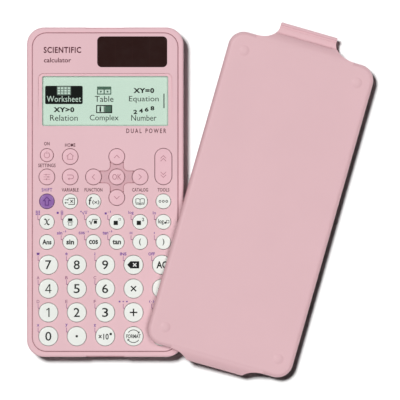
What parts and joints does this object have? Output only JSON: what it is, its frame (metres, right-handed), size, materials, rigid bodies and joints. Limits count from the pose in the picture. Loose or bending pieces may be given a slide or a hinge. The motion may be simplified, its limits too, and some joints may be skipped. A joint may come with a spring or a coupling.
{
  "type": "scientific calculator",
  "caption": "Pocket calculator with a sunk display, solar panel and round keys in a two-part case, its hooked hard cover lying beside it.",
  "frame": {"origin": "centre of the calculator's flat back face", "axes": "+Z out of the key face, +Y towards the display end, +X to the user's right"},
  "size_m": [0.1704, 0.1746, 0.015],
  "materials": {
    "shell": "fine moulded texture",
    "cover_shell": "fine moulded texture",
    "white_key": "smooth",
    "pink_key": "satin",
    "shift_key": "smooth",
    "window": "clear",
    "lcd": "smooth",
    "solar": "dark",
    "board": "solder mask",
    "rubber": "matte",
    "steel": "plated",
    "screw_steel": "zinc plated"
  },
  "bodies": {
    "calculator": {"battery": "steel", "battery_contacts": "steel", "battery_door": "shell", "case_screws": "screw_steel", "circuit_board": "board", "display_window": "window", "front_housing": "shell", "key_mat": "rubber", "lcd_connector": "rubber", "lcd_panel": "lcd", "rear_housing": "shell", "solar_panel": "solar"},
    "key_0_body": {"key_0": "white_key"},
    "key_1_body": {"key_1": "white_key"},
    "key_2_body": {"key_2": "white_key"},
    "key_3_body": {"key_3": "white_key"},
    "key_4_body": {"key_4": "white_key"},
    "key_5_body": {"key_5": "white_key"},
    "key_6_body": {"key_6": "white_key"},
    "key_7_body": {"key_7": "white_key"},
    "key_8_body": {"key_8": "white_key"},
    "key_9_body": {"key_9": "white_key"},
    "key_ans_body": {"key_ans": "white_key"},
    "key_back_body": {"key_back": "pink_key"},
    "key_catalog_body": {"key_catalog": "white_key"},
    "key_clear_body": {"key_clear": "white_key"},
    "key_close_bracket_body": {"key_close_bracket": "white_key"},
    "key_cos_body": {"key_cos": "white_key"},
    "key_delete_body": {"key_delete": "white_key"},
    "key_divide_body": {"key_divide": "white_key"},
    "key_down_body": {"key_down": "pink_key"},
    "key_enter_body": {"key_enter": "white_key"},
    "key_exponent_body": {"key_exponent": "white_key"},
    "key_format_body": {"key_format": "white_key"},
    "key_fraction_body": {"key_fraction": "white_key"},
    "key_function_body": {"key_function": "white_key"},
    "key_home_body": {"key_home": "pink_key"},
    "key_left_body": {"key_left": "pink_key"},
    "key_log_body": {"key_log": "white_key"},
    "key_minus_body": {"key_minus": "white_key"},
    "key_multiply_body": {"key_multiply": "white_key"},
    "key_ok_body": {"key_ok": "pink_key"},
    "key_on_body": {"key_on": "pink_key"},
    "key_open_bracket_body": {"key_open_bracket": "white_key"},
    "key_page_body": {"key_page": "pink_key"},
    "key_plus_body": {"key_plus": "white_key"},
    "key_point_body": {"key_point": "white_key"},
    "key_power_body": {"key_power": "white_key"},
    "key_right_body": {"key_right": "pink_key"},
    "key_root_body": {"key_root": "white_key"},
    "key_settings_body": {"key_settings": "pink_key"},
    "key_shift_body": {"key_shift": "shift_key"},
    "key_sin_body": {"key_sin": "white_key"},
    "key_square_body": {"key_square": "white_key"},
    "key_tan_body": {"key_tan": "white_key"},
    "key_tools_body": {"key_tools": "white_key"},
    "key_up_body": {"key_up": "pink_key"},
    "key_variable_body": {"key_variable": "white_key"},
    "key_x_body": {"key_x": "white_key"},
    "cover": {"protective_cover": "cover_shell"}
  },
  "joints": [
    {"name": "key_page_tilt", "type": "hinge", "parent": "calculator", "child": "key_page_body", "pos_m": [0.02863, 0.0126, 0.0076], "axis": [1, 0, 0], "range_deg": [-4, 4], "stiffness_Nm_per_rad": 0.08, "deforming": ["key_mat"]},
    {"name": "cover_lift", "type": "slide", "parent": "calculator", "child": "cover", "axis": [0, 0, 1], "range_m": [0, 0.06]},
    {"name": "key_0_press", "type": "slide", "parent": "calculator", "child": "key_0_body", "axis": [0, 0, -1], "range_m": [0, 0.0009], "stiffness_N_per_m": 400, "springref_m": -0.0015, "deforming": ["key_mat"]},
    {"name": "key_1_press", "type": "slide", "parent": "calculator", "child": "key_1_body", "axis": [0, 0, -1], "range_m": [0, 0.0009], "stiffness_N_per_m": 400, "springref_m": -0.0015, "deforming": ["key_mat"]},
    {"name": "key_2_press", "type": "slide", "parent": "calculator", "child": "key_2_body", "axis": [0, 0, -1], "range_m": [0, 0.0009], "stiffness_N_per_m": 400, "springref_m": -0.0015, "deforming": ["key_mat"]},
    {"name": "key_3_press", "type": "slide", "parent": "calculator", "child": "key_3_body", "axis": [0, 0, -1], "range_m": [0, 0.0009], "stiffness_N_per_m": 400, "springref_m": -0.0015, "deforming": ["key_mat"]},
    {"name": "key_4_press", "type": "slide", "parent": "calculator", "child": "key_4_body", "axis": [0, 0, -1], "range_m": [0, 0.0009], "stiffness_N_per_m": 400, "springref_m": -0.0015, "deforming": ["key_mat"]},
    {"name": "key_5_press", "type": "slide", "parent": "calculator", "child": "key_5_body", "axis": [0, 0, -1], "range_m": [0, 0.0009], "stiffness_N_per_m": 400, "springref_m": -0.0015, "deforming": ["key_mat"]},
    {"name": "key_6_press", "type": "slide", "parent": "calculator", "child": "key_6_body", "axis": [0, 0, -1], "range_m": [0, 0.0009], "stiffness_N_per_m": 400, "springref_m": -0.0015, "deforming": ["key_mat"]},
    {"name": "key_7_press", "type": "slide", "parent": "calculator", "child": "key_7_body", "axis": [0, 0, -1], "range_m": [0, 0.0009], "stiffness_N_per_m": 400, "springref_m": -0.0015, "deforming": ["key_mat"]},
    {"name": "key_8_press", "type": "slide", "parent": "calculator", "child": "key_8_body", "axis": [0, 0, -1], "range_m": [0, 0.0009], "stiffness_N_per_m": 400, "springref_m": -0.0015, "deforming": ["key_mat"]},
    {"name": "key_9_press", "type": "slide", "parent": "calculator", "child": "key_9_body", "axis": [0, 0, -1], "range_m": [0, 0.0009], "stiffness_N_per_m": 400, "springref_m": -0.0015, "deforming": ["key_mat"]},
    {"name": "key_ans_press", "type": "slide", "parent": "calculator", "child": "key_ans_body", "axis": [0, 0, -1], "range_m": [0, 0.0009], "stiffness_N_per_m": 400, "springref_m": -0.0015, "deforming": ["key_mat"]},
    {"name": "key_back_press", "type": "slide", "parent": "calculator", "child": "key_back_body", "axis": [0, 0, -1], "range_m": [0, 0.0009], "stiffness_N_per_m": 400, "springref_m": -0.0015, "deforming": ["key_mat"]},
    {"name": "key_catalog_press", "type": "slide", "parent": "calculator", "child": "key_catalog_body", "axis": [0, 0, -1], "range_m": [0, 0.0009], "stiffness_N_per_m": 400, "springref_m": -0.0015, "deforming": ["key_mat"]},
    {"name": "key_clear_press", "type": "slide", "parent": "calculator", "child": "key_clear_body", "axis": [0, 0, -1], "range_m": [0, 0.0009], "stiffness_N_per_m": 400, "springref_m": -0.0015, "deforming": ["key_mat"]},
    {"name": "key_close_bracket_press", "type": "slide", "parent": "calculator", "child": "key_close_bracket_body", "axis": [0, 0, -1], "range_m": [0, 0.0009], "stiffness_N_per_m": 400, "springref_m": -0.0015, "deforming": ["key_mat"]},
    {"name": "key_cos_press", "type": "slide", "parent": "calculator", "child": "key_cos_body", "axis": [0, 0, -1], "range_m": [0, 0.0009], "stiffness_N_per_m": 400, "springref_m": -0.0015, "deforming": ["key_mat"]},
    {"name": "key_delete_press", "type": "slide", "parent": "calculator", "child": "key_delete_body", "axis": [0, 0, -1], "range_m": [0, 0.0009], "stiffness_N_per_m": 400, "springref_m": -0.0015, "deforming": ["key_mat"]},
    {"name": "key_divide_press", "type": "slide", "parent": "calculator", "child": "key_divide_body", "axis": [0, 0, -1], "range_m": [0, 0.0009], "stiffness_N_per_m": 400, "springref_m": -0.0015, "deforming": ["key_mat"]},
    {"name": "key_down_press", "type": "slide", "parent": "calculator", "child": "key_down_body", "axis": [0, 0, -1], "range_m": [0, 0.0009], "stiffness_N_per_m": 400, "springref_m": -0.0015, "deforming": ["key_mat"]},
    {"name": "key_enter_press", "type": "slide", "parent": "calculator", "child": "key_enter_body", "axis": [0, 0, -1], "range_m": [0, 0.0009], "stiffness_N_per_m": 400, "springref_m": -0.0015, "deforming": ["key_mat"]},
    {"name": "key_exponent_press", "type": "slide", "parent": "calculator", "child": "key_exponent_body", "axis": [0, 0, -1], "range_m": [0, 0.0009], "stiffness_N_per_m": 400, "springref_m": -0.0015, "deforming": ["key_mat"]},
    {"name": "key_format_press", "type": "slide", "parent": "calculator", "child": "key_format_body", "axis": [0, 0, -1], "range_m": [0, 0.0009], "stiffness_N_per_m": 400, "springref_m": -0.0015, "deforming": ["key_mat"]},
    {"name": "key_fraction_press", "type": "slide", "parent": "calculator", "child": "key_fraction_body", "axis": [0, 0, -1], "range_m": [0, 0.0009], "stiffness_N_per_m": 400, "springref_m": -0.0015, "deforming": ["key_mat"]},
    {"name": "key_function_press", "type": "slide", "parent": "calculator", "child": "key_function_body", "axis": [0, 0, -1], "range_m": [0, 0.0009], "stiffness_N_per_m": 400, "springref_m": -0.0015, "deforming": ["key_mat"]},
    {"name": "key_home_press", "type": "slide", "parent": "calculator", "child": "key_home_body", "axis": [0, 0, -1], "range_m": [0, 0.0009], "stiffness_N_per_m": 400, "springref_m": -0.0015, "deforming": ["key_mat"]},
    {"name": "key_left_press", "type": "slide", "parent": "calculator", "child": "key_left_body", "axis": [0, 0, -1], "range_m": [0, 0.0009], "stiffness_N_per_m": 400, "springref_m": -0.0015, "deforming": ["key_mat"]},
    {"name": "key_log_press", "type": "slide", "parent": "calculator", "child": "key_log_body", "axis": [0, 0, -1], "range_m": [0, 0.0009], "stiffness_N_per_m": 400, "springref_m": -0.0015, "deforming": ["key_mat"]},
    {"name": "key_minus_press", "type": "slide", "parent": "calculator", "child": "key_minus_body", "axis": [0, 0, -1], "range_m": [0, 0.0009], "stiffness_N_per_m": 400, "springref_m": -0.0015, "deforming": ["key_mat"]},
    {"name": "key_multiply_press", "type": "slide", "parent": "calculator", "child": "key_multiply_body", "axis": [0, 0, -1], "range_m": [0, 0.0009], "stiffness_N_per_m": 400, "springref_m": -0.0015, "deforming": ["key_mat"]},
    {"name": "key_ok_press", "type": "slide", "parent": "calculator", "child": "key_ok_body", "axis": [0, 0, -1], "range_m": [0, 0.0009], "stiffness_N_per_m": 400, "springref_m": -0.0015, "deforming": ["key_mat"]},
    {"name": "key_on_press", "type": "slide", "parent": "calculator", "child": "key_on_body", "axis": [0, 0, -1], "range_m": [0, 0.0009], "stiffness_N_per_m": 400, "springref_m": -0.0015, "deforming": ["key_mat"]},
    {"name": "key_open_bracket_press", "type": "slide", "parent": "calculator", "child": "key_open_bracket_body", "axis": [0, 0, -1], "range_m": [0, 0.0009], "stiffness_N_per_m": 400, "springref_m": -0.0015, "deforming": ["key_mat"]},
    {"name": "key_plus_press", "type": "slide", "parent": "calculator", "child": "key_plus_body", "axis": [0, 0, -1], "range_m": [0, 0.0009], "stiffness_N_per_m": 400, "springref_m": -0.0015, "deforming": ["key_mat"]},
    {"name": "key_point_press", "type": "slide", "parent": "calculator", "child": "key_point_body", "axis": [0, 0, -1], "range_m": [0, 0.0009], "stiffness_N_per_m": 400, "springref_m": -0.0015, "deforming": ["key_mat"]},
    {"name": "key_power_press", "type": "slide", "parent": "calculator", "child": "key_power_body", "axis": [0, 0, -1], "range_m": [0, 0.0009], "stiffness_N_per_m": 400, "springref_m": -0.0015, "deforming": ["key_mat"]},
    {"name": "key_right_press", "type": "slide", "parent": "calculator", "child": "key_right_body", "axis": [0, 0, -1], "range_m": [0, 0.0009], "stiffness_N_per_m": 400, "springref_m": -0.0015, "deforming": ["key_mat"]},
    {"name": "key_root_press", "type": "slide", "parent": "calculator", "child": "key_root_body", "axis": [0, 0, -1], "range_m": [0, 0.0009], "stiffness_N_per_m": 400, "springref_m": -0.0015, "deforming": ["key_mat"]},
    {"name": "key_settings_press", "type": "slide", "parent": "calculator", "child": "key_settings_body", "axis": [0, 0, -1], "range_m": [0, 0.0009], "stiffness_N_per_m": 400, "springref_m": -0.0015, "deforming": ["key_mat"]},
    {"name": "key_shift_press", "type": "slide", "parent": "calculator", "child": "key_shift_body", "axis": [0, 0, -1], "range_m": [0, 0.0009], "stiffness_N_per_m": 400, "springref_m": -0.0015, "deforming": ["key_mat"]},
    {"name": "key_sin_press", "type": "slide", "parent": "calculator", "child": "key_sin_body", "axis": [0, 0, -1], "range_m": [0, 0.0009], "stiffness_N_per_m": 400, "springref_m": -0.0015, "deforming": ["key_mat"]},
    {"name": "key_square_press", "type": "slide", "parent": "calculator", "child": "key_square_body", "axis": [0, 0, -1], "range_m": [0, 0.0009], "stiffness_N_per_m": 400, "springref_m": -0.0015, "deforming": ["key_mat"]},
    {"name": "key_tan_press", "type": "slide", "parent": "calculator", "child": "key_tan_body", "axis": [0, 0, -1], "range_m": [0, 0.0009], "stiffness_N_per_m": 400, "springref_m": -0.0015, "deforming": ["key_mat"]},
    {"name": "key_tools_press", "type": "slide", "parent": "calculator", "child": "key_tools_body", "axis": [0, 0, -1], "range_m": [0, 0.0009], "stiffness_N_per_m": 400, "springref_m": -0.0015, "deforming": ["key_mat"]},
    {"name": "key_up_press", "type": "slide", "parent": "calculator", "child": "key_up_body", "axis": [0, 0, -1], "range_m": [0, 0.0009], "stiffness_N_per_m": 400, "springref_m": -0.0015, "deforming": ["key_mat"]},
    {"name": "key_variable_press", "type": "slide", "parent": "calculator", "child": "key_variable_body", "axis": [0, 0, -1], "range_m": [0, 0.0009], "stiffness_N_per_m": 400, "springref_m": -0.0015, "deforming": ["key_mat"]},
    {"name": "key_x_press", "type": "slide", "parent": "calculator", "child": "key_x_body", "axis": [0, 0, -1], "range_m": [0, 0.0009], "stiffness_N_per_m": 400, "springref_m": -0.0015, "deforming": ["key_mat"]}
  ]
}
